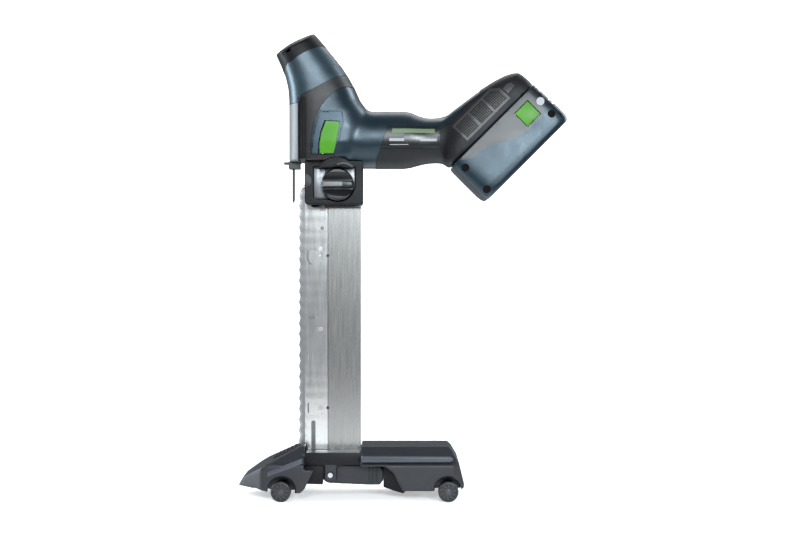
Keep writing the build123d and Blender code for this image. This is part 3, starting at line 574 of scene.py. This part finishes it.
def casing():
    """All casing parts, cut from one smooth body along their joint lines."""
    outer = master_casing()
    inner = swell(copy_of(outer, "inner"), -WALL)
    shell = boolean(copy_of(outer, "shell"), inner, keep_tool=True)
    groove_layer = layer(outer, PROUD, -1.1)
    for path in (COVER_ARC, HEAD_SEAM, [(BAND_X, 330.0), (BAND_X, 400.0)], COVER_FOOT, GRIP_EDGE):
        groove = boolean(copy_of(groove_layer, "groove"), prism("line", ribbon(path, GAP)), "INTERSECT")
        boolean(shell, groove)
    remove(groove_layer)
    for side in (-1, 1):
        boolean(shell, tube_y("arch", ARCH_RADIUS, *ARCH, *span(side, 19, 60), 72))
    behind_arc = prism("behind", COVER_ARC + COVER_FOOT[1:] + [(FAR, 318.0), (FAR, 560.0), (-43.0, 560.0)])
    above = prism("above", HEAD_SEAM + [(-28, 560), (-146, 560)])
    cap_zone = prism("cap", CAP_LIP[:-1] + CAP_SEAM + [(-56, 520), (-160, 520), (-160, 425)])
    band_zone = prism("band", [(-160, 300), (BAND_X, 300), (BAND_X, 395.1), (-160, 393.2)])

    cap = boolean(swell(copy_of(outer, "cap_piece"), PROUD), inner, keep_tool=True)
    boolean(cap, cap_zone, "INTERSECT", True)
    slot = prism("slot", [(-122.8, 443.6), (-111.6, 449.4), (-110.6, 446.8), (-121.8, 441.0)], -60, -26)
    boolean(cap, slot)
    piece(cap, "cap_lid", "matt_black", "machine", "top_cap")

    head = boolean(boolean(copy_of(shell, "head_piece"), above, "INTERSECT", True), cap_zone)
    piece(head, "head_cover", "head_blue", "machine", "head_shell")
    band = boolean(copy_of(shell, "band_piece"), band_zone, "INTERSECT", True)
    piece(band, "front_band", "band_grey", "machine", "front_cover")

    cover = boolean(copy_of(shell, "cover_piece"), above)
    boolean(cover, behind_arc, keep_tool=True)
    boolean(cover, band_zone)
    strip_zone = prism("strip", SLIDE_SLOT)
    boolean(cover, boolean(layer(outer, 0, STRIP_DEPTH), strip_zone, "INTERSECT", True))
    piece(cover, "gear_case", "cover_brown", "machine", "gear_cover")
    strip = layer(outer, SKIN, STRIP_DEPTH)
    boolean(strip, strip_zone, "INTERSECT")
    for x in (-101.6, -99.0, -96.4):
        boolean(strip, block("groove", x - 0.45, x + 0.45, -60, 60, 340, 398))
    piece(strip, "side_slide_strip", "black_plastic", "machine")

    housing = boolean(shell, behind_arc, "INTERSECT")
    boolean(housing, boolean(layer(outer, 0, -1.7), prism("recess_zone", RECESS), "INTERSECT"))
    seat = boolean(layer(outer, -1.6, -2.1), prism("seat_zone", RECESS), "INTERSECT")
    # the hole is wider than the button at the front and top, where a dark gap shows
    hole = [(x - (1.3 if x < -74 else 0.1), z + (0.5 if z > 370 else 0)) for x, z in BUTTON]
    for part in (housing, seat):
        boolean(part, prism("button_hole", hole))
    piece(seat, "switch_seats", "seat_blue", "machine")
    boolean(housing, boolean(layer(outer, 0, SKIN), prism("plate_zone", PLATE), "INTERSECT"))
    grip_zone = prism("grip_zone", GRIP_EDGE + [(200, 440), (200, 310)])
    boolean(housing, copy_of(grip_zone, "grip_cut"))
    for side, half in halves(housing, SPLIT):
        piece(half, f"clamshell_{side}", "housing_blue", "machine", f"housing_{side}")

    grip = boolean(swell(copy_of(outer, "grip"), 0.3), inner, keep_tool=True)
    boolean(grip, grip_zone, "INTERSECT")
    vent_zone = prism("vent_zone", [pack_point(u, v) for u, v in VENT])
    boolean(grip, boolean(layer(outer, PROUD, -1.5), vent_zone, "INTERSECT", True))
    for side, half in halves(grip, SPLIT):
        piece(half, f"soft_grip_{side}", "grip_rubber", "machine", f"grip_rubber_{side}")

    # the plates stop a little short of their pockets
    inset = prism("inset", [(x * 0.985 + 0.1, 361.1 + (z - 361.1) * 0.965) for x, z in PLATE])
    plates = boolean(layer(outer, -0.15, SKIN), inset, "INTERSECT")
    for side, half in halves(plates):
        piece(half, f"name_plate_{side}", "plate_black", "machine", f"handle_plate_{side}")
    print_marks(outer)
    vent_frames(outer, vent_zone)
    pack_clip(outer)
    buttons(outer)
    remove(outer, inner)


# outline of the vent frame, in the pack's (u, v)
VENT = [(-30.6, -27.4), (-30.6, -6.0), (29.6, -6.0), (29.6, -20.6), (22.8, -27.4)]


def print_marks(outer):
    """Plain stripes where such a tool carries its print."""
    marks = layer(outer, 0.02, -0.4)
    green = [(-9.6, 33.0, 365.4, 369.6)]
    white = [(-12.5, 2.4, 357.0, 359.8), (18.0, 35.0, 357.2, 359.6), (-12.0, 6.6, 353.2, 353.9)]
    for name, look, bars in (("plate_stripe_green", "print_green", green),
                             ("plate_stripe_white", "print_white", white)):
        zone = join("zone", [block("bar", x0, x1, -FAR, FAR, z0, z1) for x0, x1, z0, z1 in bars])
        stripe = boolean(copy_of(marks, name), zone, "INTERSECT")
        piece(stripe, name, look, "machine")
    remove(marks)


def vent_frames(outer, zone):
    """Bevelled frame with three mesh windows on each side of the foot."""
    frame_piece = boolean(layer(outer, 0.1, -1.4), zone, "INTERSECT")
    windows = []
    for i in range(3):
        start = -28.3 + i * 19.4
        corners = [(start, -25.0), (start + 16.8, -25.0), (start + 16.8, -8.2), (start, -8.2)]
        if i == 2:
            corners[1:2] = [(start + 11.4, -25.0), (start + 16.8, -19.4)]
        windows.append([pack_point(u, v) for u, v in corners])
    zones = join("windows", [prism("window", window) for window in windows])
    grid = boolean(layer(outer, -0.35, -0.95), copy_of(zones, "zones"), "INTERSECT")
    boolean(frame_piece, zones)
    pitch = 2.05
    across = [((-44.0 + k * pitch, -30.0), (-44.0 + k * pitch, -4.0)) for k in range(40)]
    along = [((-36.0, -30.0 + k * pitch), (36.0, -30.0 + k * pitch)) for k in range(12)]
    for paths in (across, along):
        lines = [prism("line", ribbon([pack_point(*end) for end in path], 0.75)) for path in paths]
        boolean(grid, join("lines", lines))
    for side, half in halves(frame_piece):
        piece(half, f"vent_frame_{side}", "frame_grey", "machine", f"vent_grille_{side}")
    piece(grid, "vent_mesh", "mesh_grey", "machine")


def pack_clip(outer):
    """Small ribbed catch beside the mesh windows."""
    corners = [(31.4, -17.6), (36.5, -18.8), (41.4, -16.4), (41.4, -11.8), (31.4, -11.0)]
    zone = prism("clip_zone", [pack_point(u, v) for u, v in corners])
    clip = boolean(layer(outer, 0.9, -0.5), zone, "INTERSECT")
    for u in (33.6, 36.2, 38.8):
        groove = prism("line", ribbon([pack_point(u, -20.0), pack_point(u, -9.0)], 0.9))
        boolean(clip, boolean(layer(outer, 2.0, 0.4), groove, "INTERSECT"))
    piece(clip, "pack_clip", "spoke_grey", "machine")


def buttons(outer):
    """On/off buttons with a crowned face, a little below the casing."""
    inset = [(-72.0 + (x + 72.0) * 0.96, 360.5 + (z - 360.5) * 0.98) for x, z in BUTTON]
    for side, low, high in (("left", -FAR, -5), ("right", 5, FAR)):
        cap = boolean(layer(outer, -0.7, -2.8), prism("button_zone", inset, low, high), "INTERSECT")
        bevel(cap, 0.5, 2, 50)
        piece(cap, f"power_button_{side}", "button_green", f"switch_{side}", f"switch_button_{side}")


casing()


# ---------------------------------------------------------------- battery pack
# screw holes and middle of the latch button, in the pack's (u, v)
PACK_HOLES = [(-50.9, 11.2), (-50.9, 41.6), (47.4, 33.9)]
LATCH = (30.6, 17.0)


def latch_square(reach):
    """Corners of an upright square round the middle of the latch button."""
    u, v = LATCH
    corners = ((-1, -1), (1, -1), (1, 1), (-1, 1))
    return [pack_point(u + a * reach, v + b * reach) for a, b in corners]


def battery():
    """Pack with its lid, label, end piece, latch buttons and screw cups."""
    # v, reach down and up along u, half width
    rings = [(0.4, 58.0, 56.4, 36.0), (1.4, 58.7, 57.0, 36.6), (6.0, 58.9, 57.2, 36.8),
             (20.0, 59.0, 57.8, 37.0), (40.0, 58.9, 58.8, 36.8), (45.5, 58.3, 58.3, 36.2),
             (48.4, 57.2, 57.2, 35.0), (49.6, 55.4, 55.4, 33.2), (49.85, 52.0, 52.0, 30.0)]
    pack = loft("pack", [pack_ring(v, -low, high, width, 9.0) for v, low, high, width in rings])
    pack = remesh(pack, 1.0)
    relax(pack, 3)
    label_edge = curve([(-50.0, 1.6), (-44.5, 6.0), (-38.7, 9.2), (-31.0, 10.2), (-23.8, 11.6),
                        (-14.0, 15.8), (-5.0, 20.8), (3.0, 24.8), (10.0, 27.4), (19.0, 28.6),
                        (34.0, 28.8), (42.0, 28.2), (45.4, 25.0), (46.4, 18.0), (46.6, 1.6)])
    label_zone = prism("label_zone", [pack_point(u, v) for u, v in label_edge])
    inner = swell(copy_of(pack, "pack_inner"), -2.2)
    film = boolean(layer(pack, 0.12, -0.5), label_zone, "INTERSECT")
    shell = boolean(copy_of(pack, "pack_shell"), inner, keep_tool=True)
    end_edge = [(48.0, -2.0), (48.0, 11.0), (51.0, 14.5), (49.5, 19.0), (50.5, 24.0), (54.0, 27.5),
                (54.0, 33.0), (64.0, 36.0), (64.0, -2.0)]
    end_zone = prism("end_zone", [pack_point(u, v) for u, v in end_edge])
    end = boolean(swell(copy_of(pack, "end"), 0.15), inner, keep_tool=True)
    boolean(end, end_zone, "INTERSECT", True)
    boolean(shell, end_zone)
    for v in (4.0, 9.0, 22.0, 27.0):
        boolean(end, prism("notch", ribbon([pack_point(55.8, v), pack_point(62, v)], 2.2)))
    piece(end, "pack_end", "black_plastic", "pack")
    for part in (shell, film):
        boolean(part, prism("window", latch_square(9.6)))
    for u, v in PACK_HOLES:
        x, z = pack_point(u, v)
        for y0, y1 in ((-60, -30.0), (30.0, 60)):
            boolean(shell, tube_y("hole", 3.9, x, z, y0, y1, 24))
    remove(pack, inner)
    piece(shell, "pack_case", "housing_blue", "pack", "battery_case", "battery_lid")
    piece(film, "pack_label", "label_grey", "pack", "battery_labels")
    for side, sign in (("left", -1), ("right", 1)):
        button = prism("latch", latch_square(9.0), *span(sign, 34.4, 36.7))
        bevel(button, 0.7, 3, 40)
        piece(button, f"latch_button_{side}", "button_green", f"latch_{side}", f"battery_button_{side}")
        x, z = pack_point(48.2, 17.3)
        badge = tube_y("badge", 4.0, x, z, *span(sign, 36.2, 37.1))
        piece(badge, f"pack_dot_{side}", "print_white", "pack")
        heads = []
        # the cups and screw heads are pit_black, painted shade for the bottom of the screw holes
        for u, v in PACK_HOLES:
            x, z = pack_point(u, v)
            cup = tube_y("cup", 4.0, x, z, *span(sign, 30.0, 34.2), 24)
            heads.append(boolean(cup, tube_y("hex", 1.6, x, z, *span(sign, 33, 36), 6)))
        piece(join("heads", heads), f"pack_screws_{side}", "pit_black", "pack")


battery()


# ---------------------------------------------------------------- clamp and guide set
KNOB = (-64.2, 314.1)       # axis of the clamp knob, in (X, Z)
KNOB_RADIUS = 16.2


def clamp():
    """Clamp body with its bare metal faces, the knob, and the strips that hold the rail."""
    soften("clamp_frame", 0.6, 3, "clamp_body", "matt_black", "machine")
    left_face = block("face", -88.4, -77.4, -17.2, -15.6, 301.0, 330.0)
    corner = [(-58.5, 330.5), (-47.6, 330.5), (-47.6, 315.5)]
    faces = [bevel(left_face, 0.3, 2, 40), bevel(prism("corner", corner, -17.2, -15.6), 0.3, 2, 40)]
    piece(join("faces", faces), "clamp_faces", "clamp_plate", "machine", "clamp_plate")
    back = block("back", -88.7, -47.3, -16.0, -15.5, 300.0, 331.7)
    piece(bevel(back, 0.1, 1, 40), "clamp_face_back", "black_plastic", "machine")
    boss = tube_y("boss", 7.2, -97.7, 318.0, -20.9, -19.5, 48)
    boolean(boss, block("front", -120, -97.6, -30, 0, 300, 340))
    piece(bevel(boss, 0.3, 2, 40), "clamp_boss", "shoe_grey", "machine")
    for side, sign in (("left", -1), ("right", 1)):
        low, high = span(sign, 19.5, 30.5)
        # the black collar inside the arch is partly a real collar and partly painted shade for the arch over
        # the knob
        collar = tube_y("collar", ARCH_RADIUS - 0.5, *ARCH, low, high, 72)
        boolean(collar, tube_y("clear", KNOB_RADIUS + 1.2, *KNOB, low - 5, high + 5, 72))
        boolean(collar, block("under", -100, -30, low - 5, high + 5, 290, 330.5))
        piece(bevel(collar, 0.5, 2, 40), f"knob_collar_{side}", "matt_black", "machine")
        # painted highlight: a lighter grey lip at the arch's top edge, for the light on the clamp's top face
        arc = curve([(-64.5, 333.4), (-60.0, 334.8), (-56.0, 334.6), (-52.0, 333.2), (-49.0, 331.2)], 4)
        lip = prism("lip", ribbon(arc, 1.1), *span(sign, 30.2, 30.8))
        piece(lip, f"collar_lip_{side}", "frame_grey", "machine")
    strips = [block("gasket", -78.0, -41.6, -4.0, 4.0, 291.0, 294.6)]
    lugs = []
    for low, high in ((-11.4, -10.0), (10.0, 11.4)):
        strips.append(block("gasket", -84.0, -78.0, low, high, 291.0, 294.6))
        lugs.append(bevel(block("lug", -91.6, -84.0, low, high, 292.0, 294.6), 0.5, 2, 40))
    piece(bevel(join("gasket", strips), 0.4, 2, 40), "rail_gasket", "frame_grey", "machine")
    piece(join("lugs", lugs), "gasket_lugs", "pit_black", "machine")
    x, z = KNOB
    knob = tube_y("knob_disc", KNOB_RADIUS, x, z, -26.5, -17.7, 96)
    rim = tube_y("knob_rim", KNOB_RADIUS, x, z, -28.2, -26.5, 96, low_radius=14.9)
    disc = remesh(join("knob", [knob, rim]), 0.5)
    # finger grooves above and below the grip bar
    for sign, depth in ((1, 4.0), (-1, 5.0)):
        near = z + sign * 3.3
        rings = []
        for y, far in ((-29.0, z + sign * 13.5), (-29.0 + depth, z + sign * 5.0)):
            rings.append([(x - 18, y, near), (x + 18, y, near), (x + 18, y, far), (x - 18, y, far)])
        boolean(disc, loft("groove", rings))
    bar = block("bar", x - 14.6, x + 14.6, -32.6, -23, z - 2.9, z + 2.9)
    bevel(bar, 0.9, 3, 40)
    boolean(disc, bar, "UNION")
    relax(disc, 2)
    piece(disc, "knob_body", "black_plastic", "knob", "clamp_knob", angle=40)
    face = block("bar_face", x - 14.0, x + 5.0, -32.85, -32.4, z - 2.2, z + 2.2)
    bevel(face, 0.2, 2, 40)
    piece(face, "knob_bar_mark", "band_grey", "knob")


BLADE_LOW, BLADE_HIGH = 40.5, 316.0
BLADE_EDGE, BLADE_FLAT, BLADE_BACK = -104.2, -98.4, -52.0   # X of the edge, the end of the bevel, the back
WAVE_HEIGHT, WAVE_LENGTH = 0.6, 10.9
TIP = 13.0                  # height of the rounded upper end


def wave(z):
    """How far the cutting edge stands out at height z."""
    return WAVE_HEIGHT * sin(2 * pi * (z - BLADE_LOW) / WAVE_LENGTH)


def blade(name, near, far, body, node, slots):
    """Ground blade between two Y values, with a thin waved edge, a bevel and a rounded upper end."""
    columns = []
    steps = int((BLADE_HIGH - BLADE_LOW) / 0.8)
    middle, half = (near + far) / 2, (near - far) / 2
    for i in range(steps + 1):
        z = BLADE_LOW + (BLADE_HIGH - BLADE_LOW) * i / steps
        top = max(0.0, 1 - (BLADE_HIGH - z) / TIP)
        edge = BLADE_EDGE - wave(z) * (1 - top) + 4.6 * top ** 2
        flat = max(edge + 3, BLADE_FLAT - 0.35 * wave(z))
        profile = [(edge, 0.25), (edge + 2.4, 0.45), (flat, 1.0), (BLADE_BACK, 1.0)]
        columns.append([(x, middle + half * share, z) for x, share in profile]
                       + [(x, middle - half * share, z) for x, share in reversed(profile)])
    plate = loft(name, columns)
    for outline in slots:
        boolean(plate, prism("slot", outline, -5, 5))
    piece(plate, name, "blade_steel", body, node, angle=12)
    # painted shade: the bevel and the edge get darker copies of the blade steel
    plate.data.materials.append(LOOK["blade_bevel"])
    plate.data.materials.append(LOOK["blade_edge"])
    for face in plate.data.polygons:
        x = face.center.x / MM
        if x < BLADE_FLAT + 0.2 and face.center.z / MM < BLADE_HIGH - 4:
            face.material_index = 2 if x < -102.4 else 1


def slot_outline(x0, x1, z0, z1):
    """A slot with round ends, upright or level."""
    count = 10
    r = min(x1 - x0, z1 - z0) / 2
    upright = (z1 - z0) > (x1 - x0)
    points = []
    for k in range(2 * count):
        t = pi * k / count
        cx = (x0 + x1) / 2 if upright else (x1 - r if cos(t) > 0 else x0 + r)
        cz = (z1 - r if sin(t) > 0 else z0 + r) if upright else (z0 + z1) / 2
        points.append((cx + r * cos(t), cz + r * sin(t)))
    return points


def blades():
    """Both blades with their slots, the rivet heads, and small marks on the rail."""
    bow = curve([(-95.6, 248.0), (-96.2, 244.0), (-95.9, 240.0), (-94.6, 236.2), (-92.6, 233.6)], 4)
    near_slots = [ribbon(bow, 2.2), slot_outline(-95.8, -88.0, 177.6, 181.4),
                  slot_outline(-96.0, -94.4, 82.0, 93.0), slot_outline(-92.2, -87.8, 44.0, 75.0),
                  slot_outline(-83.0, -79.2, 268.9, 272.7)]
    blade("saw_blade_left", -1.25, -0.15, "saw_a", "blade_a", near_slots)
    # painted shade: dark sheets behind the near blade's slots, for the shade on the far blade seen through
    # them
    shadows = [prism("inlay", outline, -0.75, -0.2) for outline in near_slots]
    piece(join("inlays", shadows), "slot_shade_inlays", "slot_grey", "saw_a")
    far_slots = [slot_outline(-85.0, -81.0, z - 28, z + 28) for z in (250.0, 168.0, 88.0)]
    blade("saw_blade_right", 0.15, 1.25, "saw_b", "blade_b", far_slots)
    dots = []
    for x, z, r in ((-83.2, 243.4, 2.3), (-84.0, 249.6, 0.9), (-82.0, 237.2, 0.9),
                    (-82.6, 88.0, 2.3), (-83.4, 98.4, 1.0), (-81.6, 82.0, 1.0)):
        dots.append(tube_y("dot", r, x, z, -1.75, -1.0, 28, low_radius=r * 0.75))
    piece(join("rivets", dots), "rivet_heads", "steel", "saw_a")
    notches = [tube_y("notch", 1.5, -75.2, z, -2.95, -2.6, 24) for z in (242.8, 88.0)]
    piece(join("notches", notches), "rail_dimples", "black_plastic", "machine")
    # painted shade: a dark strip along the rail's edge, for the shade in the groove between blade and rail
    piece(block("edge", -75.4, -75.0, -2.4, -1.3, 42.0, 291.0), "rail_groove_shade", "pit_black", "machine")


clamp()
blades()


# ---------------------------------------------------------------- shoe
def shoe_lines():
    """Raised step along the lower edge of the nose and of the rear cover, on both sides."""
    for side, sign in (("left", -1), ("right", 1)):
        nose = [(-133.0, 28.0), (-118.0, 34.4), (-98.5, 41.4), (-98.5, 36.4), (-114.7, 29.8), (-133.0, 23.6)]
        rear = [(-40.2, 43.4), (48.0, 43.0), (50.6, 41.6), (50.6, 39.4), (48.0, 38.0), (-40.2, 37.8)]
        reach = span(sign, 31.0, 38.9)
        steps = [bevel(prism("step", outline, *reach), 0.6, 3, 40) for outline in (nose, rear)]
        # the steps get the lighter copy of the shoe plastic, a painted highlight along the ledges
        piece(join("steps", steps), f"shoe_steps_{side}", "shoe_light", "machine")


def shoe():
    """Shoe body, lever and rail socket, with the ridges, covers, skirts and ribs on them."""
    body = soften("shoe_shell", 0.8, 4, "shoe_body", "shoe_grey", "machine")
    relax(body, 30, lambda points: np.clip((-126.0 - points[:, 0]) / 10.0, 0, 1))
    shoe_lines()
    soften("clamp_lever", 0.6, 3, "lever_body", "shoe_grey", "lever")
    soften("guide_socket", 0.6, 2, "socket_body", "black_plastic", "machine")
    ridges = []
    for i in range(6):
        x = -129.0 + i * 4.0
        z = 38.2 + i * 1.9
        ridge = block("ridge", x - 0.8, x + 0.8, -15, 15, z - 1.6, z + 1.3)
        ridges.append(bevel(ridge, 0.4, 2, 40))
    piece(join("ridges", ridges), "nose_ridges", "shoe_grey", "machine")
    for side, sign in (("left", -1), ("right", 1)):
        cover = block("cover", -96.8, -41.2, *span(sign, 28.3, 29.3), 34.0, 46.2)
        piece(bevel(cover, 0.4, 2, 40), f"bridge_cover_{side}", "matt_black", "machine")
        # the inner skirts are partly real inner walls and partly painted shade: black sheets that darken
        # what shows through the shoe's openings
        rear = [(-18.4, 36.0), (-18.4, 11.0), (-9.0, 7.5), (1.5, 4.5), (9.0, 12.0), (9.0, 36.0)]
        front = [(-99.0, 34.0), (-77.0, 34.0), (-79.0, 13.5), (-95.0, 14.0), (-99.0, 18.0)]
        reach = span(sign, 22.0, 24.0)
        skirts = [bevel(prism("skirt", outline, *reach), 0.4, 2, 40) for outline in (rear, front)]
        piece(join("skirts", skirts), f"inner_skirts_{side}", "matt_black", "machine")
        ribs = []
        for x in (-32.5, -28.5, -24.5):
            rib = block("rib", x - 0.8, x + 0.8, *span(sign, 19.4, 20.7), 15.5, 30.5)
            ribs.append(bevel(rib, 0.5, 2, 40))
        piece(join("ribs", ribs), f"lever_ribs_{side}", "shoe_grey", "lever")


def wheels():
    """Rollers with a plain tread and ten curved spokes round a small hub."""
    places = (("fl", "front_left"), ("fr", "front_right"), ("rl", "rear_left"), ("rr", "rear_right"))
    for corner, name in places:
        low, high = node_box(f"roller_{name}")
        x, z, radius = (low[0] + high[0]) / 2, (low[2] + high[2]) / 2, (high[2] - low[2]) / 2
        sign = -1 if low[1] < 0 else 1
        outside = max(abs(low[1]), abs(high[1]))
        tyre = bevel(tube_y("tyre", radius, x, z, low[1], high[1], 96), 1.1, 3, 40)
        boolean(tyre, tube_y("face", radius - 1.7, x, z, *span(sign, outside - 1.6, outside + 1), 64))
        boolean(tyre, tube_y("bore", 2.6, x, z, -60, 60, 40))
        hub = tube_y("hub", 2.9, x, z, *span(sign, outside - 2, outside - 0.2), 32)
        spokes = [bevel(hub, 0.3, 2, 40)]
        for k in range(10):
            turn = 2 * pi * k / 10
            path = []
            for r in (2.0, 3.6, 5.2, 6.8, radius - 1.5):
                bend = turn + 0.055 * (r - 2.0)
                path.append((x + r * cos(bend), z + r * sin(bend)))
            spokes.append(prism("spoke", ribbon(path, 0.95), *span(sign, outside - 1.8, outside - 0.5)))
        piece(tyre, f"wheel_{name}", "black_plastic", f"roller_{corner}", f"roller_{name}")
        piece(join("spokes", spokes), f"wheel_spokes_{name}", "spoke_grey", f"roller_{corner}")


shoe()
wheels()


# ---------------------------------------------------------------- floor, light and camera
def floor():
    """White paper that fades out around the object, between 0.28 m and 0.62 m from its middle."""
    sheet = bpy.data.meshes.new("floor")
    size = 3.0
    corners = [(-size, -size, 0), (size, -size, 0), (size, size, 0), (-size, size, 0)]
    sheet.from_pydata(corners, [], [(0, 1, 2, 3)])
    obj = bpy.data.objects.new("floor", sheet)
    bpy.context.scene.collection.objects.link(obj)
    mat, tree, bsdf = new_material("paper")
    bsdf.inputs["Base Color"].default_value = (0.93, 0.93, 0.93, 1)
    bsdf.inputs["Roughness"].default_value = 0.9
    bsdf.inputs["Emission Color"].default_value = (1, 1, 1, 1)
    bsdf.inputs["Emission Strength"].default_value = 0.42
    coords = tree.nodes.new("ShaderNodeTexCoord")
    distance = tree.nodes.new("ShaderNodeVectorMath")
    distance.operation = "LENGTH"
    fade = tree.nodes.new("ShaderNodeMapRange")
    fade.inputs["From Min"].default_value = 0.28
    fade.inputs["From Max"].default_value = 0.62
    clear = tree.nodes.new("ShaderNodeBsdfTransparent")
    mix = tree.nodes.new("ShaderNodeMixShader")
    tree.links.new(coords.outputs["Object"], distance.inputs[0])
    tree.links.new(distance.outputs["Value"], fade.inputs["Value"])
    tree.links.new(fade.outputs["Result"], mix.inputs["Fac"])
    tree.links.new(bsdf.outputs["BSDF"], mix.inputs[1])
    tree.links.new(clear.outputs["BSDF"], mix.inputs[2])
    tree.links.new(mix.outputs["Shader"], tree.nodes["Material Output"].inputs["Surface"])
    obj.data.materials.append(mat)


SOFT_BLUE = (0.88, 0.96, 1.0)
RIM_BLUE = (0.80, 0.92, 1.0)


def area_light(name, place, target, size, power, colour=(1, 1, 1)):
    """Rectangular light at a place in metres, turned to its target."""
    data = bpy.data.lights.new(name, "AREA")
    data.shape = "RECTANGLE"
    data.size, data.size_y = size
    data.energy = power
    data.color = colour
    obj = bpy.data.objects.new(name, data)
    obj.location = place
    obj.rotation_euler = (Vector(target) - Vector(place)).to_track_quat("-Z", "Y").to_euler()
    bpy.context.scene.collection.objects.link(obj)


def lights():
    """White backdrop for the camera, a dimmer surround, and soft boxes that place the highlights."""
    world = bpy.data.worlds.new("studio")
    bpy.context.scene.world = world
    world.use_nodes = True
    tree = world.node_tree
    background = tree.nodes["Background"]
    background.inputs["Color"].default_value = (0.92, 0.96, 1, 1)
    background.inputs["Strength"].default_value = 0.30
    white = tree.nodes.new("ShaderNodeBackground")
    white.inputs["Strength"].default_value = 2.5
    path = tree.nodes.new("ShaderNodeLightPath")
    mix = tree.nodes.new("ShaderNodeMixShader")
    tree.links.new(path.outputs["Is Camera Ray"], mix.inputs["Fac"])
    tree.links.new(background.outputs["Background"], mix.inputs[1])
    tree.links.new(white.outputs["Background"], mix.inputs[2])
    tree.links.new(mix.outputs["Shader"], tree.nodes["World Output"].inputs["Surface"])
    area_light("key", (-0.14, -1.22, 0.86), (-0.04, 0, 0.34), (0.62, 0.34), 5.5, (0.92, 0.97, 1.0))
    area_light("middle", (-0.16, -1.25, 0.42), (-0.08, 0, 0.28), (0.30, 0.16), 0.06)
    area_light("head_glow", (-0.17, -1.28, 0.63), (-0.09, 0, 0.42), (0.12, 0.12), 3.2, SOFT_BLUE)
    area_light("pack_glow", (0.18, -1.28, 0.44), (0.09, 0, 0.34), (0.11, 0.11), 2.9, SOFT_BLUE)
    area_light("side_right", (0.46, -1.15, 0.50), (-0.05, -0.03, 0.36), (0.14, 0.24), 8.0, SOFT_BLUE)
    area_light("floor_glow", (-0.06, -0.50, 0.02), (-0.06, 0, 0.075), (0.30, 0.03), 0.035)
    area_light("top", (0.0, 0.70, 1.20), (0, 0, 0.1), (1.1, 0.7), 5)
    area_light("rim_left", (-0.95, 0.10, 0.45), (-0.1, 0, 0.35), (0.35, 0.9), 12, RIM_BLUE)
    area_light("rim_right", (0.85, 0.35, 0.70), (0, 0, 0.35), (0.35, 0.8), 9, RIM_BLUE)


def camera():
    """Level view of the left side."""
    distance = 1.30
    width = 0.816                           # metres seen from edge to edge in the plane Y = 0
    data = bpy.data.cameras.new("camera")
    data.sensor_width = 36.0
    data.lens = data.sensor_width * distance / width
    obj = bpy.data.objects.new("camera", data)
    obj.location = (-0.0018, -distance, 0.2318)
    obj.rotation_euler = (radians(90), 0, 0)
    bpy.context.scene.collection.objects.link(obj)
    bpy.context.scene.camera = obj


floor()
lights()
camera()
bpy.context.scene.view_settings.view_transform = "Standard"
